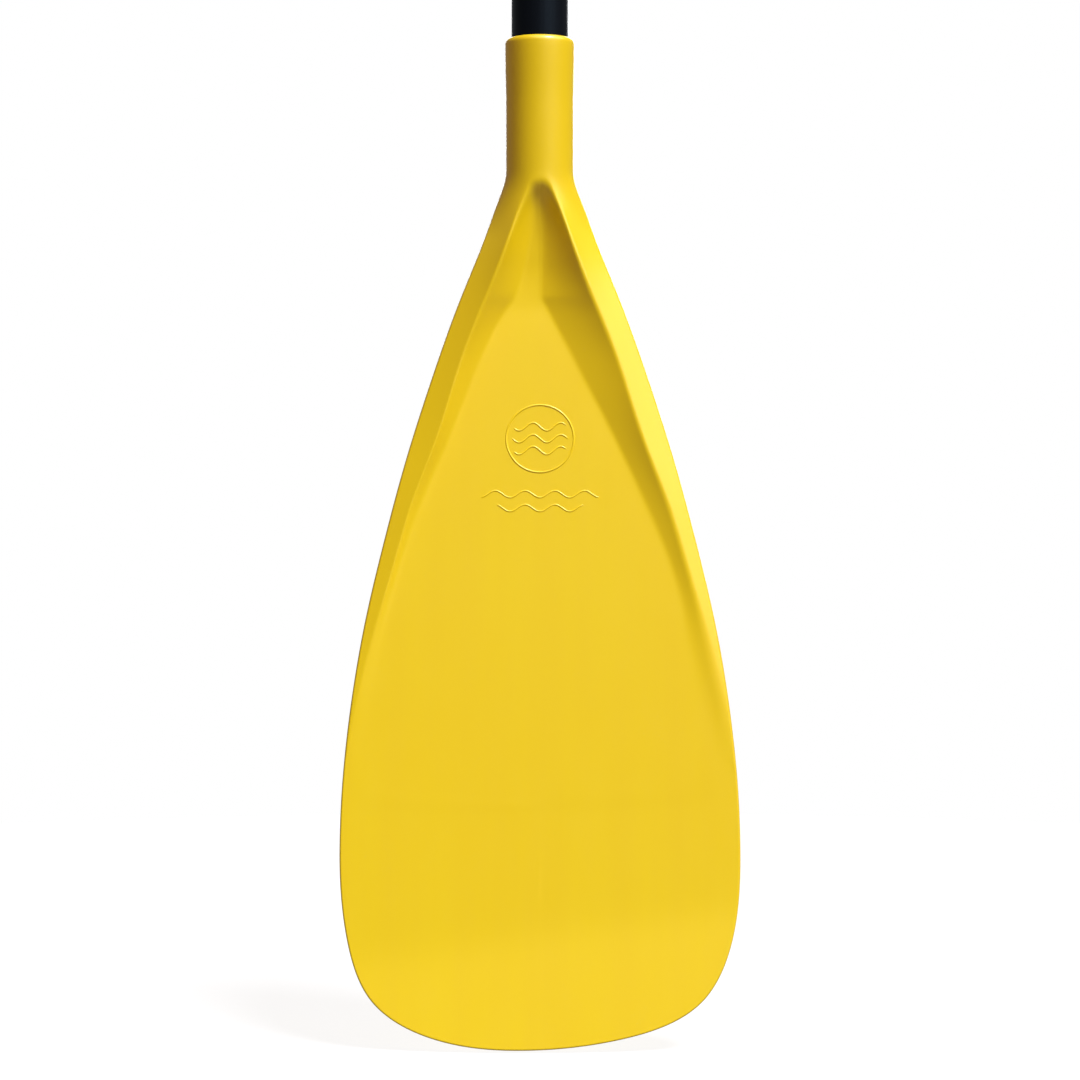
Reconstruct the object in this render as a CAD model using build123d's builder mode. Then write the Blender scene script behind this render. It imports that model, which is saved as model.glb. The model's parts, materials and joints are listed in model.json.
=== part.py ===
"""Adjustable stand-up paddle. The shaft runs along +Z, the blade's power face looks towards -Y,
and the origin is on the shaft's axis at the mouth of the blade's socket. Millimetres."""

from build123d import *
from math import cos, radians, sin
import os

os.makedirs("parts", exist_ok=True)

# Tubes
shaft_od = 29.0  # lower and middle tubes
shaft_wall = 1.2
upper_wall = 1.2
lower_reach = 300.0  # lower tube above the neck
middle_length = 750.0
groove_width = 3.0  # anti-twist groove along the back of the upper tube
groove_depth = 1.0

# Blade
blade_length = 505.0  # mouth of the socket to the tip
blade_width = 198.5
blade_cant = 7.9  # degrees that the panel leans forward of the shaft
neck_wall = 2.75
neck_length = 67.0
socket_depth = 65.0
lip_height = 3.5
lip_proud = 0.5
arch_drop = 63.4  # mouth to the top of the hollow, measured at hollow_depth
panel_drop = 132.0  # mouth to the top of the flat panel
panel_ahead = 9.0  # how far the panel starts in front of the shaft's axis
hollow_depth = 20.0
tip_offset = -6.4  # the lowest point is off the axis

# Take-down joint
ferrule_wall = 2.75
ferrule_down = 110.0
ferrule_up = 60.0
joint_collar_wall = 2.25
joint_collar_grip = 45.0
joint_flange = 3.0
button_drop = 33.0  # button below the joint
button_diameter = 8.0
button_proud = 2.0
button_flange = 1.5
spring_strip = 0.6
spring_width = 6.0
seal_section = 1.6
seal_drop = 12.0

# Height clamp
clamp_wall = 4.2
clamp_below = 30.0  # on the middle tube
clamp_above = 20.0  # around the bush
clamp_lip = 2.0
slit = 3.0
ear_inset = 7.75  # outer face of an ear inside the collar's widest point
ear_reach = 10.0
ear_height = 26.0
bolt_diameter = 5.0
pivot_diameter = 8.0
cam_radius = 8.5
cam_throw = 1.2
washer_thick = 2.0
lever_thick = 5.0
lever_height = 18.0
nut_diameter = 13.0
nut_length = 9.0

# Grip
upper_show = 12.0  # upper tube between clamp and grip at the lowest setting
grip_wall = 2.5
grip_socket = 38.0
grip_rise = 72.0  # foot of the grip to the middle of the bar
bar_half = 50.0
bar_radius = 15.5
bar_end_radius = 10.0
pad_thick = 2.5

# Fasteners and clearances
rivet_diameter = 4.0
rivet_head = 6.8
screw_diameter = 3.0
screw_head = 6.2
glued_gap = 0.05  # radial, pieces of one body
slide_gap = 0.1  # radial, bushes on tubes
free_gap = 0.3  # between pieces that move past each other

# Sizes that follow
shaft_r = shaft_od / 2
bore_r = shaft_r - shaft_wall
upper_r = bore_r - free_gap  # the upper tube telescopes into the middle one
upper_bore_r = upper_r - upper_wall
neck_r = shaft_r + neck_wall
half_blade = blade_width / 2
ferrule_r = bore_r - slide_gap
ferrule_bore_r = ferrule_r - ferrule_wall
joint_collar_r = shaft_r + glued_gap + joint_collar_wall
clamp_r = shaft_r + glued_gap + clamp_wall
ear_half = clamp_r - ear_inset
plug_r = upper_bore_r - groove_depth - 2 * glued_gap

lower_bottom = -socket_depth + 0.5
middle_bottom = lower_reach + joint_flange
middle_top = middle_bottom + middle_length
ferrule_bottom = middle_bottom - ferrule_down
ferrule_top = middle_bottom + ferrule_up
clamp_top = middle_top + clamp_above
grip_base = clamp_top + upper_show
bar_z = grip_base + grip_rise


def facing(z, side):
    """Plane through the axis at height z, looking towards -Y for side 1 and +Y for side -1."""
    return Plane(origin=(0, 0, z), x_dir=(side, 0, 0), z_dir=(0, -side, 0))


def sideways(z, y=0.0):
    """Plane through x = 0 that looks towards +X."""
    return Plane(origin=(0, y, z), x_dir=(0, 1, 0), z_dir=(1, 0, 0))


def disc(plane, radius, start, end, mode=Mode.ADD):
    """Round bar or hole along the plane's normal, from start to end."""
    with BuildSketch(plane.offset(start)) as face:
        Circle(radius)
    extrude(face.sketch, amount=end - start, mode=mode)


def ring(z, outer, inner, height, mode=Mode.ADD):
    """Tube around the shaft's axis."""
    with BuildSketch(Plane.XY.offset(z)) as face:
        Circle(outer)
        Circle(inner, mode=Mode.SUBTRACT)
    extrude(face.sketch, amount=height, mode=mode)


def write(piece, name):
    piece.part.label = name
    export_step(piece.part, f"parts/{name}.step")


# ---------------------------------------------------------------- blade
neck_rivet_z = -0.54 * socket_depth
spot_depth = 0.6

# Cross-sections below the neck: drop and half width as shares of the blade, then the edge's place
# along Y and how far the section swells in front of it and behind it.
sections = [
    (0.204, 0.293, -2.5, 15.8, 16.0),
    (0.263, 0.420, -6.5, 15.0, 14.5),
    (0.345, 0.572, -13.0, 12.2, 12.0),
    (0.425, 0.702, -18.5, 9.4, 9.8),
    (0.505, 0.812, -24.0, 7.0, 8.2),
    (0.584, 0.907, -29.0, 5.4, 7.2),
    (0.663, 0.975, -33.5, 4.8, 6.4),
    (0.741, 1.022, -38.3, 4.2, 5.8),
    (0.870, 1.035, -48.3, 4.0, 5.0),
    (1.040, 1.035, -63.4, 4.0, 4.8),
]
# Outline: drop and half width on the straight flanks, then the rounded end from right to left
flank = [(0.203, 0.286), (0.345, 0.553), (0.505, 0.787), (0.663, 0.946)]
widest_drop = 0.809
end_right = [(0.895, 0.957), (0.9515, 0.815), (0.9895, 0.40)]
end_left = [(0.9895, 0.528), (0.9515, 0.845), (0.895, 0.960)]
# Hollow: sideways and down from the top of the panel, in shares of the half width and rail_run
rail_run = 238.0
panel_side = [(0.42, 0.35), (0.87, 0.86), (1.15, 1.28)]
mouth_side = [(0.95, 0.22), (1.50, 0.69), (1.75, 1.28)]


def section(z, half_width, middle, front, back):
    """Level cross-section: one half ellipse in front of the edges and one behind them."""
    with BuildSketch(Plane.XY.offset(z)) as face:
        with BuildLine():
            EllipticalCenterArc((0, middle), half_width, back, start_angle=0, arc_size=180)
            EllipticalCenterArc((0, middle), half_width, front, start_angle=180, arc_size=180)
        make_face()
    return face.sketch


def hollow_face(plane, top, side):
    """Pointed face of the hollow, open past the blade's end."""
    right = [(half_blade * u, -rail_run * v) for u, v in side]
    left = [(-x, y) for x, y in reversed(right)]
    foot = -blade_length
    with BuildSketch(plane) as face:
        with BuildLine():
            Spline([(0, top)] + right)
            Line(right[-1], (right[-1][0], foot))
            Line((right[-1][0], foot), (left[0][0], foot))
            Line((left[0][0], foot), left[0])
            Spline(left + [(0, top)])
        make_face()
    return face.sketch


with BuildPart() as blade:
    levels = [section(-neck_length, neck_r, 0, neck_r, neck_r)]
    for drop, width, middle, front, back in sections:
        levels.append(section(-drop * blade_length, width * half_blade, middle, front, back))
    loft(levels)

    widest = -widest_drop * blade_length
    right = [(w * half_blade, -d * blade_length) for d, w in flank]
    round_right = [(w * half_blade, -d * blade_length) for d, w in end_right]
    round_left = [(-w * half_blade, -d * blade_length) for d, w in end_left]
    with BuildSketch(Plane.XZ):
        with BuildLine():
            Line((-neck_r, -neck_length + 5), (neck_r, -neck_length + 5))
            Spline([(neck_r, -neck_length + 5)] + right + [(half_blade, widest)],
                   tangents=[(0, -1), (0, -1)])
            Spline([(half_blade, widest)] + round_right + [(tip_offset, -blade_length)]
                   + round_left + [(-half_blade, widest)], tangents=[(0, -1), (0, 1)])
            Spline([(-half_blade, widest)] + [(-x, z) for x, z in reversed(right)]
                   + [(-neck_r, -neck_length + 5)], tangents=[(0, 1), (0, 1)])
        make_face()
    extrude(amount=blade_length, both=True, mode=Mode.INTERSECT)

    lean = radians(blade_cant)
    panel = Plane(origin=(0, -panel_ahead, -panel_drop), x_dir=(1, 0, 0), z_dir=(0, -cos(lean), sin(lean)))
    arch_rise = (panel_drop - arch_drop) / cos(lean)
    floor = hollow_face(panel, 0, panel_side)
    mouth = hollow_face(panel.offset(hollow_depth), arch_rise, mouth_side)
    loft([floor, mouth], ruled=True, mode=Mode.SUBTRACT)

    extrude(levels[0], amount=neck_length)
    disc(Plane.XY, neck_r + lip_proud, -lip_height, 0)
    fillet(blade.edges().filter_by(GeomType.CIRCLE).group_by(Axis.Z)[-1], 1.1)
    disc(Plane.XY, shaft_r + glued_gap, -socket_depth, 0, mode=Mode.SUBTRACT)
    disc(facing(neck_rivet_z, -1), rivet_diameter / 2, 0, 2 * neck_r, mode=Mode.SUBTRACT)
    disc(facing(neck_rivet_z, -1), rivet_head / 2 + free_gap, neck_r - spot_depth, 2 * neck_r,
         mode=Mode.SUBTRACT)
write(blade, "blade")

tail_r = rivet_head / 2 - 0.4
tail_face = (bore_r**2 - tail_r**2) ** 0.5 - glued_gap
with BuildPart() as neck_rivet:
    disc(facing(neck_rivet_z, -1), rivet_head / 2, neck_r - spot_depth, neck_r + 1.0)
    fillet(neck_rivet.edges().group_by(Axis.Y)[-1], 0.8)
    disc(facing(neck_rivet_z, -1), rivet_diameter / 2 - glued_gap, tail_face, neck_r - spot_depth)
    disc(facing(neck_rivet_z, -1), tail_r, tail_face - 1.2, tail_face)
write(neck_rivet, "neck_rivet")

# ---------------------------------------------------------------- lower tube and take-down joint
button_z = middle_bottom - button_drop
seal_z = middle_bottom - seal_drop
ferrule_rivet_z = middle_bottom + 0.38 * ferrule_up

with BuildPart() as lower_shaft:
    ring(lower_bottom, shaft_r, bore_r, lower_reach - lower_bottom)
    disc(facing(neck_rivet_z, -1), rivet_diameter / 2, 0, shaft_od, mode=Mode.SUBTRACT)
    disc(facing(button_z, 1), button_diameter / 2 + free_gap, 0, shaft_od, mode=Mode.SUBTRACT)
write(lower_shaft, "lower_shaft")

with BuildPart() as lower_plug:
    disc(Plane.XY, bore_r - glued_gap, neck_rivet_z + rivet_head, neck_rivet_z + rivet_head + 40)
    chamfer(lower_plug.edges().filter_by(GeomType.CIRCLE), 1.5)
write(lower_plug, "lower_plug")

with BuildPart() as joint_collar:
    ring(lower_reach - joint_collar_grip, joint_collar_r, shaft_r + glued_gap, joint_collar_grip)
    ring(lower_reach, joint_collar_r, bore_r, joint_flange)
    outer_rims = joint_collar.edges().filter_by(GeomType.CIRCLE).filter_by(
        lambda e: abs(e.radius - joint_collar_r) < 0.01)
    fillet([outer_rims.sort_by(Axis.Z)[0], outer_rims.sort_by(Axis.Z)[-1]], 1.0)
    disc(facing(button_z, 1), button_diameter / 2 + free_gap, 0, shaft_od, mode=Mode.SUBTRACT)
write(joint_collar, "joint_collar")

with BuildPart() as ferrule:
    ring(ferrule_bottom, ferrule_r, ferrule_bore_r, ferrule_down + ferrule_up)
    chamfer(ferrule.edges().group_by(Axis.Z)[0].sort_by(SortBy.RADIUS)[-1], 1.0)
    ring(seal_z - seal_section * 0.75, ferrule_r + 1, ferrule_r - seal_section, seal_section * 1.5,
         mode=Mode.SUBTRACT)
    disc(facing(button_z, 1), button_diameter / 2 + free_gap, 0, shaft_od, mode=Mode.SUBTRACT)
    disc(sideways(ferrule_rivet_z), rivet_diameter / 2, -shaft_od, shaft_od, mode=Mode.SUBTRACT)
write(ferrule, "ferrule")

with BuildPart() as o_ring:
    with BuildSketch(Plane.XZ):
        with Locations((ferrule_r - seal_section / 2, seal_z)):
            Circle(seal_section / 2)
    revolve(axis=Axis.Z)
write(o_ring, "o_ring")

with BuildPart() as middle_shaft:
    ring(middle_bottom, shaft_r, bore_r, middle_length)
    disc(sideways(ferrule_rivet_z), rivet_diameter / 2, -shaft_od, shaft_od, mode=Mode.SUBTRACT)
    disc(facing(middle_top - 0.6 * clamp_below, -1), screw_diameter / 2, 0, shaft_od,
         mode=Mode.SUBTRACT)
write(middle_shaft, "middle_shaft")

with BuildPart() as ferrule_rivets:
    for side in (-1, 1):
        out = Plane(origin=(0, 0, ferrule_rivet_z), x_dir=(0, side, 0), z_dir=(side, 0, 0))
        disc(out, rivet_diameter / 2 - glued_gap, ferrule_bore_r - 1.5, shaft_r)
        disc(out, rivet_head / 2, shaft_r, shaft_r + 1.1)
    heads = ferrule_rivets.edges().group_by(Axis.X)
    fillet([heads[0][0], heads[-1][0]], 0.8)
write(ferrule_rivets, "ferrule_rivets")

button_face = (ferrule_bore_r**2 - (button_diameter / 2 + button_flange) ** 2) ** 0.5 - free_gap
with BuildPart() as snap_button:
    disc(facing(button_z, 1), button_diameter / 2, button_face, joint_collar_r + button_proud)
    fillet(snap_button.edges().group_by(Axis.Y)[0], 1.2)
    disc(facing(button_z, 1), button_diameter / 2 + button_flange, button_face - button_flange,
         button_face)
write(snap_button, "snap_button")

leaf_front = -(button_face - button_flange) + free_gap
leaf_back = (ferrule_bore_r**2 - (spring_width / 2) ** 2) ** 0.5 - slide_gap
with BuildPart() as button_spring:
    with BuildSketch(sideways(button_z)):
        with BuildLine() as leaf:
            FilletPolyline(
                (leaf_front, -10), (leaf_front, 10), (0, 42), (leaf_back, 12), (leaf_back, -14),
                radius=3)
            offset(amount=spring_strip, side=Side.RIGHT)
        make_face()
    extrude(amount=spring_width / 2, both=True)
write(button_spring, "button_spring")

with BuildPart() as stop_plug:
    disc(Plane.XY, bore_r - glued_gap, ferrule_top, ferrule_top + 20)
    fillet(stop_plug.edges().group_by(Axis.Z)[-1], 1.0)
write(stop_plug, "stop_plug")

# ---------------------------------------------------------------- height clamp
bolt_r = bolt_diameter / 2
bolt_y = -(clamp_r + 0.45 * ear_reach)
bolt_z = middle_top + 3
pivot_x = ear_half + washer_thick + free_gap + cam_radius + cam_throw
cam_x = pivot_x - cam_throw
bolt_end = pivot_x + pivot_diameter / 4  # inside the pivot pin
lever_tip = (0.64 * clamp_r, 1.5 * clamp_r)

with BuildPart() as clamp_collar:
    disc(Plane.XY, clamp_r, middle_top - clamp_below, clamp_top)
    with BuildSketch(Plane.XY.offset(bolt_z - ear_height / 2)):
        with Locations((0, -clamp_r - ear_reach)):
            Rectangle(2 * ear_half, clamp_r + ear_reach, align=(Align.CENTER, Align.MIN))
    extrude(amount=ear_height)
    fillet(clamp_collar.edges().filter_by(Axis.X).group_by(Axis.Y)[0], 4)
    rims = clamp_collar.edges().filter_by(GeomType.CIRCLE)
    fillet(rims.group_by(Axis.Z)[0], 1.5)
    fillet(rims.group_by(Axis.Z)[-1], 1.5)
    disc(Plane.XY, shaft_r + glued_gap, middle_top - clamp_below, clamp_top - clamp_lip,
         mode=Mode.SUBTRACT)
    disc(Plane.XY, upper_r + free_gap, clamp_top - clamp_lip, clamp_top, mode=Mode.SUBTRACT)
    with BuildSketch(Plane.XY.offset(middle_top - clamp_below)):
        Rectangle(slit, 2 * (clamp_r + ear_reach), align=(Align.CENTER, Align.MAX))
    extrude(amount=clamp_below + clamp_above, mode=Mode.SUBTRACT)
    disc(sideways(bolt_z, bolt_y), bolt_r + 0.15, -2 * ear_half, 2 * ear_half, mode=Mode.SUBTRACT)
    disc(facing(middle_top - 0.6 * clamp_below, -1), screw_diameter / 2, 0, 2 * clamp_r,
         mode=Mode.SUBTRACT)
    disc(facing(middle_top - 0.6 * clamp_below, -1), screw_head / 2 + glued_gap,
         clamp_r - 2 * spot_depth, 2 * clamp_r, mode=Mode.SUBTRACT)
write(clamp_collar, "clamp_collar")

bush_height = clamp_above - clamp_lip
with BuildPart() as clamp_bush:
    ring(middle_top, shaft_r, upper_r + slide_gap, bush_height)
    with BuildSketch(Plane.XY.offset(middle_top)):
        with Locations((0, upper_r - groove_depth + free_gap)):
            Rectangle(groove_width - 2 * free_gap, groove_depth, align=(Align.CENTER, Align.MIN))
    extrude(amount=bush_height)
    with BuildSketch(Plane.XY.offset(middle_top)):
        Rectangle(slit, shaft_od, align=(Align.CENTER, Align.MAX))
    extrude(amount=bush_height, mode=Mode.SUBTRACT)
write(clamp_bush, "clamp_bush")

with BuildPart() as clamp_screw:
    back = facing(middle_top - 0.6 * clamp_below, -1)
    disc(back, screw_head / 2, clamp_r - 2 * spot_depth, clamp_r + 1.4)
    fillet(clamp_screw.edges().group_by(Axis.Y)[-1], 0.9)
    disc(back, screw_diameter / 2 - glued_gap, bore_r + slide_gap, clamp_r - 2 * spot_depth)
    with BuildSketch(back.offset(clamp_r + 0.2)):
        RegularPolygon(1.25, 6)
    extrude(amount=2, mode=Mode.SUBTRACT)
write(clamp_screw, "clamp_screw")

with BuildPart() as clamp_bolt:
    disc(sideways(bolt_z, bolt_y), bolt_r, -(ear_half + free_gap + nut_length + 1.2), bolt_end)
    chamfer(clamp_bolt.edges().group_by(Axis.X)[0], 0.5)
write(clamp_bolt, "clamp_bolt")

with BuildPart() as clamp_washer:
    disc(sideways(bolt_z, bolt_y), 6.5, ear_half, ear_half + washer_thick)
    chamfer(clamp_washer.edges().group_by(Axis.X)[-1], 0.4)
    disc(sideways(bolt_z, bolt_y), bolt_r + 0.15, 0, 2 * ear_half, mode=Mode.SUBTRACT)
write(clamp_washer, "clamp_washer")

pivot_plane = Plane(origin=(pivot_x, bolt_y, bolt_z - lever_height / 2))
with BuildPart() as clamp_pivot:
    disc(pivot_plane, pivot_diameter / 2, 0.2, lever_height - 0.2)
    disc(sideways(bolt_z, bolt_y), bolt_r, 0, bolt_end, mode=Mode.SUBTRACT)
write(clamp_pivot, "clamp_pivot")

outer_x = cam_x + cam_radius
with BuildPart() as clamp_lever:
    with BuildSketch(Plane.XY.offset(bolt_z - lever_height / 2)) as profile:
        with Locations((cam_x, bolt_y)):
            Circle(cam_radius)
        with BuildLine():
            outer = TangentArc((outer_x, bolt_y), lever_tip, tangent=(0, 1))
            heading = outer % 1
            inner_tip = outer @ 1 + Vector(-heading.Y, heading.X) * lever_thick
            RadiusArc(outer @ 1, inner_tip, -lever_thick * 0.55)
            RadiusArc(inner_tip, (outer_x - lever_thick, bolt_y), outer.radius - lever_thick)
            Line((outer_x - lever_thick, bolt_y), outer @ 0)
        make_face()
    extrude(amount=lever_height)
    disc(pivot_plane, pivot_diameter / 2 + 0.05, 0, lever_height, mode=Mode.SUBTRACT)
    with BuildSketch(Plane.XY.offset(bolt_z - bolt_r - free_gap)):
        with Locations((pivot_x, bolt_y + bolt_r + free_gap)):
            Rectangle(4 * cam_radius, 3 * cam_radius, align=(Align.CENTER, Align.MAX))
    extrude(amount=bolt_diameter + 2 * free_gap, mode=Mode.SUBTRACT)
write(clamp_lever, "clamp_lever")

with BuildPart() as clamp_nut:
    with BuildSketch(sideways(bolt_z, bolt_y).offset(-(ear_half + free_gap))):
        Circle(nut_diameter / 2)
        with PolarLocations(nut_diameter / 2 + 0.5, 14):
            Circle(1.1, mode=Mode.SUBTRACT)
        Circle(bolt_r + 0.05, mode=Mode.SUBTRACT)
    extrude(amount=-nut_length)
write(clamp_nut, "clamp_nut")

# ---------------------------------------------------------------- upper section
guide_flange = 4.0
upper_bottom = ferrule_top + 20 + free_gap + guide_flange
upper_top = grip_base + grip_socket
grip_screw_z = grip_base + 0.45 * grip_socket
grip_r = upper_r + glued_gap + grip_wall

with BuildPart() as upper_shaft:
    with BuildSketch(Plane.XY.offset(upper_bottom)):
        Circle(upper_r)
        with Locations((0, upper_r)):
            Rectangle(groove_width, 2 * groove_depth, mode=Mode.SUBTRACT)
    extrude(amount=upper_top - upper_bottom)
    with BuildSketch(Plane.XY.offset(upper_bottom)):
        Circle(upper_bore_r)
        with Locations((0, upper_bore_r)):
            Rectangle(groove_width + 2 * upper_wall, 2 * groove_depth, mode=Mode.SUBTRACT)
    extrude(amount=upper_top - upper_bottom, mode=Mode.SUBTRACT)
    disc(facing(grip_screw_z, 1), screw_diameter / 2, 0, 2 * upper_r, mode=Mode.SUBTRACT)
write(upper_shaft, "upper_shaft")

with BuildPart() as guide_bush:
    disc(Plane.XY, bore_r - slide_gap, upper_bottom - guide_flange, upper_bottom)
    chamfer(guide_bush.edges().group_by(Axis.Z)[0], 0.8)
    disc(Plane.XY, plug_r, upper_bottom, upper_bottom + 25)
write(guide_bush, "guide_bush")

with BuildPart() as float_plug:
    disc(Plane.XY, plug_r, grip_base - 90, grip_base - 10)
    chamfer(float_plug.edges().filter_by(GeomType.CIRCLE), 1.5)
write(float_plug, "float_plug")


def bar_profile(inset):
    """Half section of the bar, barrel shaped along X, inset from its outer skin."""
    end = bar_half - inset
    with BuildSketch(Plane.XZ) as face:
        with BuildLine():
            Line((-end, bar_z), (end, bar_z))
            Line((end, bar_z), (end, bar_z + bar_end_radius - inset))
            ThreePointArc((end, bar_z + bar_end_radius - inset), (0, bar_z + bar_radius - inset),
                          (-end, bar_z + bar_end_radius - inset))
            Line((-end, bar_z + bar_end_radius - inset), (-end, bar_z))
        profile = make_face()
        corners = profile.vertices().group_by(Axis.Y)[-1]
        fillet(corners, bar_end_radius * 0.6 - inset)
    return face.sketch


bar_axis = Axis((0, 0, bar_z), (1, 0, 0))
pad_plane = Plane.XY.offset(bar_z - 2)

with BuildPart() as grip_core:
    revolve(bar_profile(0), axis=bar_axis)
    split(bisect_by=pad_plane, keep=Keep.BOTTOM)
    revolve(bar_profile(pad_thick), axis=bar_axis)
    with BuildSketch(Plane.XY.offset(grip_base + grip_socket * 0.75)):
        Circle(grip_r)
    with BuildSketch(Plane.XY.offset(bar_z - bar_radius * 0.35)):
        Ellipse(bar_half * 0.62, bar_radius * 0.78)
    loft()
    with BuildSketch(Plane.XY.offset(grip_base)):
        Circle(grip_r)
    extrude(amount=grip_socket * 0.75)
    fillet(grip_core.edges().group_by(Axis.Z)[0], 0.8)
    disc(Plane.XY, upper_r + glued_gap, grip_base, upper_top, mode=Mode.SUBTRACT)
    disc(facing(grip_screw_z, 1), screw_diameter / 2, 0, 2 * grip_r, mode=Mode.SUBTRACT)
    disc(facing(grip_screw_z, 1), screw_head / 2 + glued_gap, grip_r - 3 * spot_depth, 2 * grip_r,
         mode=Mode.SUBTRACT)
write(grip_core, "grip_core")

with BuildPart() as palm_pad:
    revolve(bar_profile(0), axis=bar_axis)
    revolve(bar_profile(pad_thick), axis=bar_axis, mode=Mode.SUBTRACT)
    split(bisect_by=pad_plane, keep=Keep.TOP)
write(palm_pad, "palm_pad")

with BuildPart() as grip_screw:
    front = facing(grip_screw_z, 1)
    disc(front, screw_head / 2, grip_r - 3 * spot_depth, grip_r - 0.1)
    disc(front, screw_diameter / 2 - glued_gap, plug_r + 0.2, grip_r - 3 * spot_depth)
    with BuildSketch(front.offset(grip_r - 1.2)):
        RegularPolygon(1.25, 6)
    extrude(amount=2, mode=Mode.SUBTRACT)
write(grip_screw, "grip_screw")
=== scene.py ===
"""Looks of the stand-up paddle: a yellow moulded blade on a black tube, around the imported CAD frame."""

import json
import math

import bmesh
import bpy
import numpy as np
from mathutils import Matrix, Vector


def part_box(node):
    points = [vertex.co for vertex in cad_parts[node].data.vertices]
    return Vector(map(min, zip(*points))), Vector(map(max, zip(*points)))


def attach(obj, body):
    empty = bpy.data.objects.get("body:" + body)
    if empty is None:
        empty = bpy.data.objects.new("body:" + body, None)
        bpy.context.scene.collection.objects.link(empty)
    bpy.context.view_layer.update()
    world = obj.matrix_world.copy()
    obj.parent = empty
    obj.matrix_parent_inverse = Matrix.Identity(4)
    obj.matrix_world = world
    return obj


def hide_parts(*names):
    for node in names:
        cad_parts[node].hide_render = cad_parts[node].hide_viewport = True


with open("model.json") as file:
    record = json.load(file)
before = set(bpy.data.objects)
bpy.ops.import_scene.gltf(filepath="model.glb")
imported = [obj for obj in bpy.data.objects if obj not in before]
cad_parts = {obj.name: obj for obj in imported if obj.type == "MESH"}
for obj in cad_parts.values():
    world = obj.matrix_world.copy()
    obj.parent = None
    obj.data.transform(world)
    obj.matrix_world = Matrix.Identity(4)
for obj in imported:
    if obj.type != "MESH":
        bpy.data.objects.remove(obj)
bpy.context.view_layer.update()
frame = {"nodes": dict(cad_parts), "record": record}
nodes = frame["nodes"]
scene = bpy.context.scene
MM = 0.001


# ---------------------------------------------------------------- helpers
def linear(code):
    """An sRGB hex colour as linear RGBA."""
    parts = [int(code[i : i + 2], 16) / 255 for i in (0, 2, 4)]
    return (*(v / 12.92 if v <= 0.04045 else ((v + 0.055) / 1.055) ** 2.4 for v in parts), 1)


def add(tree, kind, inputs=(), **settings):
    """A new node of that kind; inputs maps socket names or numbers to values or to other sockets."""
    node = tree.nodes.new(kind)
    for name, value in settings.items():
        setattr(node, name, value)
    for name, value in dict(inputs).items():
        if isinstance(value, bpy.types.NodeSocket):
            tree.links.new(value, node.inputs[name])
        else:
            node.inputs[name].default_value = value
    return node


def new_material(name):
    """An empty node material and its tree."""
    material = bpy.data.materials.new(name)
    material.use_nodes = True
    material.node_tree.nodes.clear()
    return material, material.node_tree


def finish_material(tree, **inputs):
    """A Principled surface with those inputs, on the output."""
    names = {key.replace("_", " "): value for key, value in inputs.items()}
    shader = add(tree, "ShaderNodeBsdfPrincipled", names)
    add(tree, "ShaderNodeOutputMaterial", {"Surface": shader.outputs[0]})


def ramp(tree, factor, low, high, start, end):
    """Factor from low to high, mapped to start to end."""
    values = {"Value": factor, "From Min": low, "From Max": high, "To Min": start, "To Max": end}
    return add(tree, "ShaderNodeMapRange", values).outputs["Result"]


def mix(tree, factor, first, second):
    """Two colours mixed by factor."""
    node = add(tree, "ShaderNodeMix", data_type="RGBA")
    for socket, value in ((0, factor), (6, first), (7, second)):
        if isinstance(value, bpy.types.NodeSocket):
            tree.links.new(value, node.inputs[socket])
        else:
            node.inputs[socket].default_value = value
    return node.outputs[2]


def noise(tree, vector, scale, detail=2.0, roughness=0.5):
    """Cloudy values with a mean of about a half; scale is in waves a metre."""
    values = {"Vector": vector, "Scale": scale, "Detail": detail, "Roughness": roughness}
    return add(tree, "ShaderNodeTexNoise", values).outputs["Fac"]


def bump(tree, height, strength, distance):
    """A relief of that height in metres."""
    values = {"Height": height, "Strength": strength, "Distance": distance}
    return add(tree, "ShaderNodeBump", values).outputs["Normal"]


def coordinates(tree, scale=(1, 1, 1)):
    """Object coordinates, stretched by scale."""
    place = add(tree, "ShaderNodeTexCoord").outputs["Object"]
    return add(tree, "ShaderNodeMapping", {"Vector": place, "Scale": scale}).outputs["Vector"]


def new_object(name, vertices, faces, smooth=True):
    """A mesh object from points in mm, its doubles merged and its faces turned outwards."""
    mesh = bpy.data.meshes.new(name)
    mesh.from_pydata([tuple(v) for v in np.asarray(vertices) * MM], [], [tuple(f) for f in faces])
    work = bmesh.new()
    work.from_mesh(mesh)
    bmesh.ops.remove_doubles(work, verts=work.verts, dist=2e-6)
    bmesh.ops.dissolve_degenerate(work, edges=work.edges, dist=1e-7)
    bmesh.ops.recalc_face_normals(work, faces=work.faces)
    work.to_mesh(mesh)
    work.free()
    mesh.polygons.foreach_set("use_smooth", [smooth] * len(mesh.polygons))
    piece = bpy.data.objects.new(name, mesh)
    scene.collection.objects.link(piece)
    return piece


# ---------------------------------------------------------------- blade
# Millimetres. x is across the blade and t is the distance down from the mouth of the neck.
neck_r = 17.25
mouth_flare = 0.5  # how much wider the neck is at its mouth
bore_r = 14.55
bore_depth = 65.0
neck_end = 67  # where the round neck starts to open out
panel_start = 132  # where the flat panel begins in the bottom of the hollow
panel_height = 9
shoulder = 408.5  # where the sides end and the rounded bottom starts
length = 504.9
half_width = 99.2
cant = math.radians(7.3)  # lean of the panel towards the front
curl = math.radians(3.8)  # further lean of its tip
edge_r = 2.0


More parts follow.
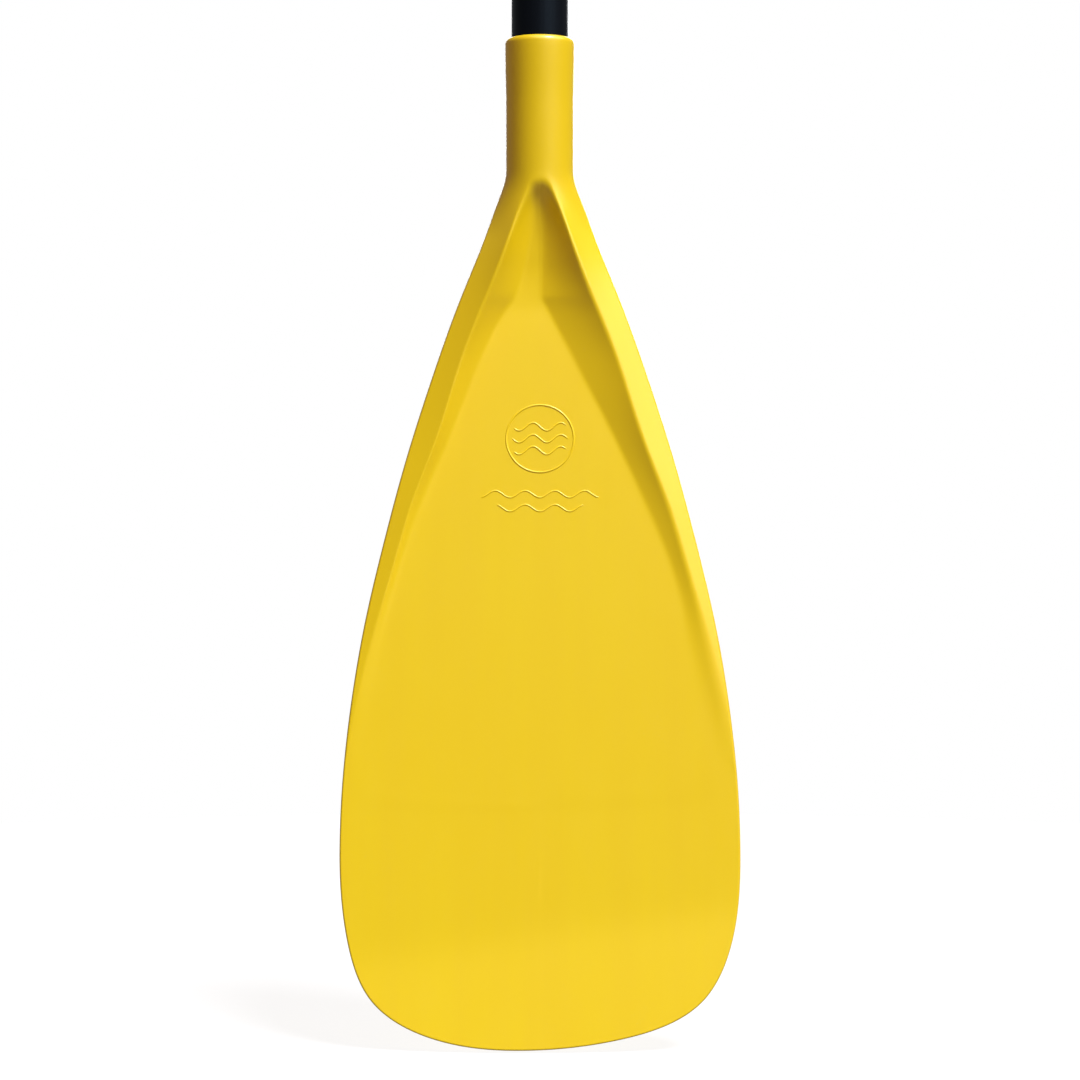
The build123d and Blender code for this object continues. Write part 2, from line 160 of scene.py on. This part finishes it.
def spline(knots, values, first=None, last=None):
    """A smooth curve through the values, with the slopes at its ends given or free; straight outside."""
    x, y = np.asarray(knots, float), np.asarray(values, float)
    n = len(x)
    step = np.diff(x)
    rise = np.diff(y) / step
    left, right = np.zeros((n, n)), np.zeros(n)
    for i in range(1, n - 1):
        left[i, i - 1 : i + 2] = 1 / step[i - 1], 2 / step[i - 1] + 2 / step[i], 1 / step[i]
        right[i] = 3 * (rise[i - 1] / step[i - 1] + rise[i] / step[i])
    left[0, :2], right[0] = ((1, 0), first) if first is not None else ((2, 1), 3 * rise[0])
    left[-1, -2:], right[-1] = ((0, 1), last) if last is not None else ((1, 2), 3 * rise[-1])
    slope = np.linalg.solve(left, right)

    def value(t):
        t = np.asarray(t, float)
        i = np.clip(np.searchsorted(x, t) - 1, 0, n - 2)
        inside = np.clip(t, x[0], x[-1])
        u = (inside - x[i]) / step[i]
        a, b = slope[i] * step[i], slope[i + 1] * step[i]
        d = y[i + 1] - y[i]
        body = y[i] + u * (a + u * (3 * d - 2 * a - b + u * (a + b - 2 * d)))
        return body + (t < x[0]) * (t - x[0]) * slope[0] + (t > x[-1]) * (t - x[-1]) * slope[-1]

    return value


def step_up(t, low, high):
    """0 below low, 1 above high, smooth between."""
    u = np.clip((np.asarray(t, float) - low) / (high - low), 0, 1)
    return u * u * (3 - 2 * u)


def soft_min(a, b, k):
    """The lower of two heights, blended over k."""
    h = np.clip(0.5 + 0.5 * (b - a) / k, 0, 1)
    return b + (a - b) * h - k * h * (1 - h)


def soft_max(a, b, k):
    """The higher of two heights, blended over k."""
    return -soft_min(-a, -b, k)


half_at = spline(  # from the middle to the outline
    [neck_end, 82, 102.5, 133, 174.2, 214.7, 255, 295, 334.8, 374.2, shoulder],
    [neck_r, 21.1, 28.4, 40.4, 54.9, 67.5, 78.1, 87.3, 93.9, 98.0, half_width],
    0,
    0,
)
crest_at = spline(  # from the middle to the crest of the wall beside the hollow
    [neck_end, 78, 82, 90, 98, 113, 133, 158, 184, 208, 237, 258, 283, 308, 333, 358, 380, shoulder],
    [5, 6.2, 7.8, 11, 14.2, 19.8, 27.2, 37, 45.3, 53, 64, 70, 77, 84, 89.5, 94, 95.4, 95.8],
    0,
    0,
)
foot_at = spline(  # from the middle to the foot of the wall
    [panel_start, 146, 158, 171, 184, 208, 237, 258, 283, 308, 333, 360],
    [0, 7.2, 13.6, 20.2, 27, 39, 52.5, 61.5, 69.5, 75, 82, 91],
)
groove_at = spline(  # height of the hollow's floor above the panel's start
    [neck_end, 74, 79, 84, 90, 99, 111, 119, panel_start, 146, 160],
    [25.5, 18.9, 14.6, 12, 10.6, 9.6, 9.0, 8.7, 8.5, 7.2, 3],
)
depth_at = spline(  # from a crest down to the bottom of the hollow beside it
    [neck_end, 76, 82, 90, 99, 111, 119, 133, 158, 184, 208, 237, 258, 283, 308, 333, 360, 390],
    [0.2, 2.2, 5.6, 8.0, 10.0, 11.3, 11.2, 9.7, 7, 5.8, 4.8, 3.4, 2.4, 1.7, 1.2, 0.7, 0.25, 0],
    None,
    0,
)
flank_at = spline(  # slope of the flank between the outline and the crest
    [neck_end, 98, 113, 133, 158, 198, 235, 283, 333, 360, 390],
    [1.2, 1.15, 0.95, 0.70, 0.57, 0.45, 0.38, 0.31, 0.2, 0.1, 0],
    None,
    0,
)
bulge_at = spline(  # how far the back stands out behind the edges
    [neck_end, 98, 113, 133, 158, 184, 208, 237, 283, 333, 408, 505],
    [neck_r, 14.4, 14, 12, 9.6, 7.8, 6.6, 5.5, 3.8, 3.6, 2.8, 2],
    0,
    0,
)
edge_at = spline(  # height of the middle of the edge
    [neck_end, 82, 98, 113, 133, 158, 184, 208, 237, 258, 283, 308, 333, 360, shoulder],
    [0, 0.5, 2.5, 5.0, 7.6, 10.4, 13.4, 16.4, 20.3, 22.8, 25.9, 29.2, 32.7, 36.2, 42.42],
    0,
    math.tan(cant),
)


def panel(x, t):
    """Height of the flat face towards the camera: it leans, and curls further near the bottom."""
    bend = 4 * np.logaddexp(0, (t - 450 + 0.137 * x) / 4)  # mm past a line that runs a little askew
    return panel_height + (t - panel_start) * math.tan(cant) + bend * math.tan(curl)


def edge_round(t, inset):
    """How far the rounded edge rises close to the outline: it is half as wide as it is deep."""
    radius = edge_r * step_up(t, neck_end, 112)
    near = np.clip(inset / np.maximum(0.5 * radius, 1e-6), 0, 1)
    return radius * np.sqrt(1 - (1 - near) ** 2)


def front(x, t, share, inset):
    """The power face: the panel in its hollow, the walls up to the crests, the flanks down to the edge."""
    level = panel(x, t)
    low = t <= shoulder
    middle = np.where(low, edge_at(t), level - edge_r)
    rim = edge_round(t, inset)
    w = step_up(t, neck_end, 102)
    dome = (1 - w) * neck_r * np.sqrt(np.clip(1 - share**2, 0, 1))
    flank = np.where(low, np.maximum(flank_at(t), 0), 0) * inset
    top = neck_r + 0.05 - middle + 200 * step_up(t, 80, 400)  # no flank rises past the neck
    outside = middle + rim + dome + w * soft_min(flank, top, 3)
    floor = soft_max(np.where(t < 160, groove_at(t), -200), level, 2.0)
    depth = np.where(low, np.maximum(depth_at(t), 0), 0)
    foot = np.where(t < panel_start, 0, foot_at(t))
    left = np.where(x < 0, 1, 0)  # the left wall is shorter and softer
    foot = foot + 0.55 * left * step_up(t, 85, 150) * (crest_at(t) - foot)
    valley_r = 7.5 - 6.7 * step_up(t, 85, panel_start)  # roundness of the hollow's bottom
    reach = np.maximum(np.hypot(crest_at(t), valley_r) - valley_r - foot, 1)
    run = (np.hypot(x, valley_r) - valley_r - foot) / reach
    wall = floor + depth * run * (0.84 + 0.16 * np.clip(run, 0, 1.5) ** 2)
    hollow = soft_max(floor, wall, 0.35 + 0.65 * left)
    softness = 3.2 - 1.8 * step_up(t, 75, 190) - 1.0 * step_up(t, 300, 400)
    return soft_min(outside, hollow, softness)


def back(x, t, share, inset):
    """The back: shallow and convex, with a rib that runs out of the neck."""
    middle = np.where(t <= shoulder, edge_at(t), panel(x, t) - edge_r)
    rim = edge_round(t, inset)
    round_ = np.sqrt(np.clip(1 - share**2, 0, 1))
    rib = 3 * step_up(t, neck_end, 140) * (1 - step_up(t, 140, 310)) * np.exp(-((x / 15) ** 2))
    return middle - rim - bulge_at(t) * round_ - rib * round_


def bottom_outline(count):
    """Points round the bottom from the left shoulder to the right one; the lowest is a little left."""
    shares = [(-1, 0.809), (-0.960, 0.895), (-0.845, 0.9515), (-0.528, 0.9895), (-0.0645, 1)]
    shares += [(0.40, 0.9895), (0.815, 0.9515), (0.957, 0.895), (1, 0.809)]
    points = np.array([(x * half_width, t * length) for x, t in shares])
    points[[0, -1], 1] = shoulder
    chord = np.concatenate([[0], np.cumsum(np.hypot(*np.diff(points, axis=0).T))])
    across = spline(chord, points[:, 0], 0, 0)
    down = spline(chord, points[:, 1], 1, -1)
    at = np.linspace(0, chord[-1], count)
    return across(at), down(at)


def blade_mesh():
    """Rings down the neck and the sides, then a fan round the bottom, on both faces."""
    inner, outer, rear = 46, 34, 40
    u = np.linspace(0, 1, inner + outer + 1)
    circle = np.sin(u * math.pi / 2)
    to_crest = 1 - (1 - np.linspace(0, 1, inner + 1)) ** 1.35
    to_edge = (1 - np.cos(np.linspace(0, math.pi, outer + 1)[1:])) / 2
    rear_share = np.sin(np.linspace(0, 1, rear + 1) * math.pi / 2)
    vertices, faces = [], []

    def front_shares(t):
        crest = float(crest_at(t)) / float(half_at(t))
        shaped = np.concatenate([to_crest * crest, crest + to_edge * (1 - crest)])
        w = float(step_up(t, neck_end, 100))
        shares = (1 - w) * circle + w * shaped
        return np.concatenate([-shares[:0:-1], shares])

    rear_shares = np.concatenate([-rear_share[:0:-1], rear_share])
    start = front_shares(neck_end)
    ring = []

    def add_ring(points):
        ring.append(len(vertices))
        vertices.extend(points)

    bore = [(bore_depth, bore_r), (0.4, bore_r), (0, bore_r + 0.4)]
    flare_r = neck_r + mouth_flare
    turns = np.linspace(0.1, math.pi / 2, 9)
    lip = [(3 - 3 * math.cos(a), flare_r - 2.6 + 2.6 * math.sin(a)) for a in turns]
    neck = [(t, flare_r - mouth_flare * float(step_up(t, 3, 36))) for t in np.linspace(5, 66, 22)]
    for t, r in bore + lip + neck:
        x = np.concatenate([start, rear_shares[-2:0:-1]]) * r
        y = np.sqrt(np.maximum(r * r - x * x, 0)) * np.where(np.arange(len(x)) < len(start), -1, 1)
        add_ring(np.stack([x, y, np.full(len(x), -t)], 1))
    for t in np.linspace(neck_end, shoulder, 246):
        half = float(half_at(t))
        s = front_shares(t)
        x = s * half
        y = -front(x, t, s, half - np.abs(x))
        s2 = rear_shares[-2:0:-1]
        x2 = s2 * half
        y2 = -back(x2, t, s2, half - np.abs(x2))
        x, y = np.concatenate([x, x2]), np.concatenate([y, y2])
        add_ring(np.stack([x, y, np.full(len(x), -t)], 1))
    count = len(start) + len(rear_shares) - 2
    for a, b in zip(ring[:-1], ring[1:]):
        for i in range(count):
            j = (i + 1) % count
            faces.append((a + i, a + j, b + j, b + i))
    vertices.append((0, 0, -bore_depth))
    faces += [(ring[0] + i, ring[0] + (i + 1) % count, len(vertices) - 1) for i in range(count)]

    across, down = bottom_outline(151)
    for face, shares in ((front, front_shares(shoulder)[inner + outer :]), (back, rear_share)):
        first = len(vertices)
        for end_x, end_t in zip(across, down):
            reach = math.hypot(end_x, end_t - shoulder)
            x = shares * end_x
            t = shoulder + shares * (end_t - shoulder)
            y = -face(x, t, shares, reach * (1 - shares))
            vertices.extend(np.stack([x, y, -t], 1))
        n = len(shares)
        for j in range(len(across) - 1):
            for k in range(n - 1):
                a, b = first + j * n + k, first + (j + 1) * n + k
                faces.append((a, b, b + 1, a + 1))
    return vertices, faces


# ---------------------------------------------------------------- materials
def blade_plastic():
    """Moulded polypropylene: satin, with faint flow bands down it, a fine skin and a few pale specks."""
    material, tree = new_material("yellow polypropylene, injection moulded")
    bands = noise(tree, coordinates(tree, (42, 10, 2.2)), 1.0, 3, 0.55)
    colour = mix(tree, ramp(tree, bands, 0.32, 0.68, 0, 1), linear("F1CF12"), linear("F3D30E"))
    clouds = noise(tree, coordinates(tree), 9.0, 3)
    colour = mix(tree, ramp(tree, clouds, 0.35, 0.7, 0, 0.25), colour, linear("F0C90A"))
    dust = noise(tree, coordinates(tree), 2600.0, 1)
    patches = noise(tree, coordinates(tree), 38.0, 4, 0.6)
    specks = {0: ramp(tree, dust, 0.70, 0.76, 0, 1), 1: ramp(tree, patches, 0.5, 0.7, 0, 0.45)}
    few = add(tree, "ShaderNodeMath", specks, operation="MULTIPLY").outputs[0]
    colour = mix(tree, few, colour, linear("E2C878"))
    skin = noise(tree, coordinates(tree), 1400.0, 2)
    strokes = noise(tree, coordinates(tree, (260, 260, 24)), 1.0, 4, 0.65)
    rough = ramp(tree, strokes, 0.35, 0.75, 0.28, 0.32)
    normal = bump(tree, skin, 0.3, 0.00001)
    finish_material(tree, Base_Color=colour, Roughness=rough, Normal=normal)
    return material


def black_tube():
    """Black anodised aluminium: a dark satin skin with fine drawing lines along the tube."""
    material, tree = new_material("black anodised aluminium, drawn tube")
    lines = noise(tree, coordinates(tree, (1500, 1500, 12)), 1.0, 2)
    rough = ramp(tree, lines, 0.3, 0.7, 0.28, 0.36)
    finish_material(
        tree,
        Base_Color=linear("0B0C10"),
        Roughness=rough,
        Specular_IOR_Level=0.14,
        Specular_Tint=(0.5, 0.75, 1, 1),
        Normal=bump(tree, lines, 0.15, 0.00003),
    )
    return material


def moulded(name, code, roughness, grain, depth, worn="8A8A88"):
    """A moulded black part: spark-eroded grain, uneven gloss and a little pale dust."""
    material, tree = new_material(name)
    skin = noise(tree, coordinates(tree), grain, 3, 0.6)
    uneven = noise(tree, coordinates(tree), 60.0, 3)
    dust = ramp(tree, noise(tree, coordinates(tree), 420.0, 4, 0.7), 0.6, 0.8, 0, 0.10)
    finish_material(
        tree,
        Base_Color=mix(tree, dust, linear(code), linear(worn)),
        Roughness=ramp(tree, uneven, 0.3, 0.7, roughness - 0.06, roughness + 0.06),
        Specular_IOR_Level=0.35,
        Normal=bump(tree, skin, 0.5, depth),
    )
    return material


def metal(name, code, roughness, stretch):
    """Bare metal with tool marks along the direction that stretch leaves long."""
    material, tree = new_material(name)
    marks = noise(tree, coordinates(tree, stretch), 1.0, 3, 0.6)
    finish_material(
        tree,
        Base_Color=mix(tree, ramp(tree, marks, 0.3, 0.7, 0, 0.3), linear(code), linear("8E8F90")),
        Metallic=1.0,
        Roughness=ramp(tree, marks, 0.3, 0.7, roughness - 0.05, roughness + 0.08),
        Normal=bump(tree, marks, 0.25, 0.00002),
    )
    return material


finishes = {
    "blade_plastic": blade_plastic(),
    "black_tube": black_tube(),
    "black_nylon": moulded("glass-filled nylon, moulded grain", "17181B", 0.48, 1500.0, 0.00004),
    "grip_rubber": moulded("thermoplastic elastomer, moulded matt", "24262B", 0.68, 2200.0, 0.00006),
    "seal_rubber": moulded("nitrile rubber", "121316", 0.55, 900.0, 0.00002),
    "steel": metal("stainless steel, turned", "C9CACB", 0.26, (200, 2500, 2500)),
    "alu": metal("plain aluminium, cold headed", "D6D7D9", 0.34, (900, 900, 900)),
    "float_foam": moulded("closed-cell foam", "DCDCD8", 0.85, 700.0, 0.0003, "F0F0EC"),
}
for part in frame["record"]["subparts"]:
    node = nodes[part["node"]]
    node.data.materials.clear()
    node.data.materials.append(finishes[part["material_slot"]])


def dress(piece, body, slot, *replaced):
    """The piece takes its slot's finish and its body, and stands for those CAD nodes."""
    piece.data.materials.clear()
    piece.data.materials.append(finishes[slot])
    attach(piece, body)
    if replaced:
        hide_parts(*replaced)
    return piece


dress(new_object("moulded_blade", *blade_mesh()), "blade_and_shaft", "blade_plastic", "blade")


def bead(path, radius, closed=False, around=10):
    """A round bead along points in mm: its vertices and faces, with rounded-in ends when it is open."""
    path = np.asarray(path, float)
    n = len(path)
    if closed:
        ahead = np.roll(path, -1, 0) - np.roll(path, 1, 0)
    else:
        ahead = np.gradient(path, axis=0)
    ahead /= np.linalg.norm(ahead, axis=1)[:, None]
    out = np.tile([0.0, -1.0, 0.0], (n, 1))
    side = np.cross(ahead, out)
    side /= np.linalg.norm(side, axis=1)[:, None]
    out = np.cross(side, ahead)
    size = np.full(n, radius)
    if not closed:
        from_end = np.minimum(np.arange(n), np.arange(n)[::-1]) / 4
        size *= np.sqrt(np.clip(1 - (1 - np.clip(from_end, 0, 1)) ** 2, 0.002, 1))
    turn = np.linspace(0, 2 * math.pi, around + 1)[:-1]
    ring = np.cos(turn)[None, :, None] * side[:, None] + np.sin(turn)[None, :, None] * out[:, None]
    vertices = (path[:, None] + size[:, None, None] * ring).reshape(-1, 3)
    faces = []
    for i in range(n if closed else n - 1):
        j = (i + 1) % n
        for k in range(around):
            m = (k + 1) % around
            faces.append((i * around + k, i * around + m, j * around + m, j * around + k))
    if not closed:
        faces += [tuple(range(around))[::-1], tuple((n - 1) * around + k for k in range(around))]
    return vertices, faces


def join_meshes(parts):
    """Several sets of vertices and faces as one."""
    vertices, faces = [], []
    for points, sides in parts:
        start = len(vertices)
        vertices.extend(points)
        faces.extend(tuple(start + i for i in side) for side in sides)
    return vertices, faces


def on_panel(x, t, lift):
    """Points on the panel, raised by lift."""
    x, t = np.asarray(x, float), np.asarray(t, float)
    return np.stack([x, -panel(x, t) - lift, -t], 1)


mark_t = 204  # middle of the ring
mark_r = 17


def emblem_mesh():
    """A plain mark: waves in a ring, and longer waves below it, raised from the panel."""
    turn = np.linspace(0, 2 * math.pi, 97)[:-1]
    ring = on_panel(mark_r * np.cos(turn), mark_t + mark_r * np.sin(turn), -0.25)
    parts = [bead(ring, 0.6, True)]
    for level, reach in ((-6, 13.5), (0, 14.5), (6, 13.5)):
        x = np.linspace(-reach, reach, 61)
        parts.append(bead(on_panel(x, mark_t + level + 2.0 * np.sin(x * 0.45), -0.25), 0.55))
    for level, reach in ((28, 30), (35, 22)):
        x = np.linspace(-reach, reach, 101)
        parts.append(bead(on_panel(x, mark_t + level + 1.7 * np.cos(x * 0.42), -0.22), 0.5))
    return join_meshes(parts)


dress(new_object("raised_wave_mark", *emblem_mesh()), "blade_and_shaft", "blade_plastic")


# ---------------------------------------------------------------- collar ribs and height scale
def ribs_tree():
    """Bars set round an arc, all along Z."""
    tree = bpy.data.node_groups.new("ribs round a collar", "GeometryNodeTree")
    tree.interface.new_socket("Geometry", in_out="OUTPUT", socket_type="NodeSocketGeometry")
    for label, kind in (
        ("Count", "Int"),
        ("Radius", "Float"),
        ("Start", "Float"),
        ("Sweep", "Float"),
        ("Length", "Float"),
        ("Thickness", "Float"),
        ("Height", "Float"),
        ("Material", "Material"),
    ):
        tree.interface.new_socket(label, in_out="INPUT", socket_type="NodeSocket" + kind)
    given = add(tree, "NodeGroupInput").outputs
    turn = {"Start Angle": given["Start"], "Sweep Angle": given["Sweep"]}
    arc = add(tree, "GeometryNodeCurveArc", {"Resolution": 64, "Radius": given["Radius"], **turn})
    spots = add(tree, "GeometryNodeCurveToPoints", {0: arc.outputs[0], "Count": given["Count"]})
    half = add(tree, "ShaderNodeMath", {0: given["Thickness"], 1: 0.5}, operation="MULTIPLY")
    ball = add(tree, "GeometryNodeMeshUVSphere", {"Segments": 12, "Rings": 16, "Radius": half.outputs[0]})
    longer = add(tree, "ShaderNodeMath", {0: given["Length"], 1: given["Thickness"]}, operation="DIVIDE")
    scale = add(tree, "ShaderNodeCombineXYZ", {"X": 1.0, "Y": 1.0, "Z": longer.outputs[0]})
    bar = add(tree, "GeometryNodeTransform", {"Geometry": ball.outputs[0], "Scale": scale.outputs[0]})
    lift = add(tree, "ShaderNodeCombineXYZ", {"Z": given["Height"]})
    pairs = {"Points": spots.outputs["Points"], "Instance": bar.outputs[0]}
    placed = add(tree, "GeometryNodeInstanceOnPoints", pairs)
    raised = {"Geometry": placed.outputs[0], "Translation": lift.outputs[0]}
    moved = add(tree, "GeometryNodeTransform", raised)
    real = add(tree, "GeometryNodeRealizeInstances", {0: moved.outputs[0]})
    smooth = add(tree, "GeometryNodeSetShadeSmooth", {0: real.outputs[0]})
    done = add(tree, "GeometryNodeSetMaterial", {0: smooth.outputs[0], "Material": given["Material"]})
    add(tree, "NodeGroupOutput", {0: done.outputs[0]})
    return tree


def grown(name, tree, **inputs):
    """What a geometry tree makes from those inputs, as a plain mesh object."""
    seed = bpy.data.objects.new(name + "_seed", bpy.data.meshes.new(name + "_seed"))
    scene.collection.objects.link(seed)
    modifier = seed.modifiers.new("grow", "NODES")
    modifier.node_group = tree
    for item in tree.interface.items_tree:
        if item.in_out == "INPUT" and item.name in inputs:
            modifier[item.identifier] = inputs[item.name]
    bpy.context.view_layer.update()
    mesh = bpy.data.meshes.new_from_object(seed.evaluated_get(bpy.context.evaluated_depsgraph_get()))
    bpy.data.objects.remove(seed)
    mesh.name = name
    piece = bpy.data.objects.new(name, mesh)
    scene.collection.objects.link(piece)
    return piece


low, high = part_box("joint_collar")
plain = 34  # degrees left without ribs on each side of the button, which is in front
ribs = grown(
    "joint_collar_ribs",
    ribs_tree(),
    Count=30,
    Radius=high.x - 0.3 * MM,
    Start=math.radians(-90 + plain),
    Sweep=math.radians(360 - 2 * plain),
    Length=32 * MM,
    Thickness=2.0 * MM,
    Height=(low.z + high.z) / 2 - 1.5 * MM,
    Material=finishes["black_nylon"],
)
dress(ribs, "blade_and_shaft", "black_nylon")


tick_gap = 10
tick_half = 0.35  # half the height of a tick
film = 0.06  # thickness of the print, half of it let into the tube's skin


def scale_mesh(radius, top, count):
    """Printed arcs down the tube, each fifth one longer, as closed films."""
    vertices, faces = [], []
    inner = radius - film
    corners = [(inner, -tick_half), (radius, -tick_half), (radius, tick_half), (inner, tick_half)]
    for i in range(count):
        z = top - tick_gap * i
        reach = 0.42 if i % 5 == 0 else 0.2
        first = len(vertices)
        for angle in np.linspace(-math.pi / 2 - reach, -math.pi / 2 + reach, 13):
            vertices += [(r * math.cos(angle), r * math.sin(angle), z + h) for r, h in corners]
        last = len(vertices) - 4
        for a in range(first, last, 4):
            faces += [(a + j, a + 4 + j, a + 4 + (j + 1) % 4, a + (j + 1) % 4) for j in range(4)]
        faces += [(first, first + 1, first + 2, first + 3), (last + 3, last + 2, last + 1, last)]
    return vertices, faces


tube_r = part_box("upper_shaft")[1].x / MM
collar_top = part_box("clamp_collar")[1].z / MM
scale_piece = new_object("height_scale", *scale_mesh(tube_r + film / 2, collar_top + 6, 47))
material, tree = new_material("white pad-printed ink")  # matt, and rubbed thin in places
worn = noise(tree, coordinates(tree), 900.0, 3, 0.7)
finish_material(
    tree,
    Base_Color=mix(tree, ramp(tree, worn, 0.55, 0.75, 0, 0.6), linear("D8D9DA"), linear("5A5C60")),
    Roughness=0.5,
)
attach(scale_piece, "upper_section")
scale_piece.data.materials.append(material)

# ---------------------------------------------------------------- camera, light, floor
camera = bpy.data.objects.new("camera", bpy.data.cameras.new("camera"))
scene.collection.objects.link(camera)
camera.location = (0, -1.5, -0.255)
camera.rotation_euler = (math.pi / 2, 0, 0)
camera.data.lens = 98.2
scene.camera = camera
scene.view_settings.view_transform = "Standard"


def sun(name, towards, energy, angle):
    """Light from that direction, as soft as a sun that many degrees wide."""
    light = bpy.data.objects.new(name, bpy.data.lights.new(name, "SUN"))
    scene.collection.objects.link(light)
    light.rotation_euler = Vector(towards).to_track_quat("Z", "Y").to_euler()
    light.data.energy = energy
    light.data.angle = math.radians(angle)
    return light


above_right = (0.384, -0.426, 0.819)
key = sun("key", above_right, 4.25, 18)
key.data.color = (1, 1.02, 1.1)
sheen = sun("sheen", above_right, 5.0, 84)  # a wide softbox that only the gloss shows
sheen.visible_diffuse = False
sun("behind", (0.1, 0.94, 0.32), 2.4, 40)

world = bpy.data.worlds.new("studio")
scene.world = world
world.use_nodes = True
tree = world.node_tree
tree.nodes.clear()
ray = add(tree, "ShaderNodeLightPath").outputs
fill = mix(tree, ray["Is Glossy Ray"], (0.23, 0.13, 0.09, 1), (0.2, 0.21, 0.22, 1))
dim = add(tree, "ShaderNodeBackground", {"Color": fill, "Strength": 1.0})
white = add(tree, "ShaderNodeBackground", {"Color": (1, 1, 1, 1), "Strength": 1.0})
both = add(tree, "ShaderNodeMixShader", {0: ray["Is Camera Ray"], 1: dim.outputs[0], 2: white.outputs[0]})
add(tree, "ShaderNodeOutputWorld", {"Surface": both.outputs[0]})

floor_r = 1200
floor_z = -506  # just under the tip of the blade
angles = np.linspace(0, 2 * math.pi, 97)[:-1]
disc = [(floor_r * math.cos(a), floor_r * math.sin(a), floor_z) for a in angles]
floor = new_object("floor", disc, [tuple(range(len(disc)))], False)
material, tree = new_material("studio floor, pale matt card")
seen = add(tree, "ShaderNodeLightPath").outputs["Is Camera Ray"]
glow = add(tree, "ShaderNodeEmission", {"Strength": ramp(tree, seen, 0, 1, 0.12, 0.88)})
card = add(tree, "ShaderNodeBsdfDiffuse", {"Color": (0.14, 0.14, 0.14, 1)})
total = add(tree, "ShaderNodeAddShader", {0: glow.outputs[0], 1: card.outputs[0]})
add(tree, "ShaderNodeOutputMaterial", {"Surface": total.outputs[0]})
floor.data.materials.append(material)
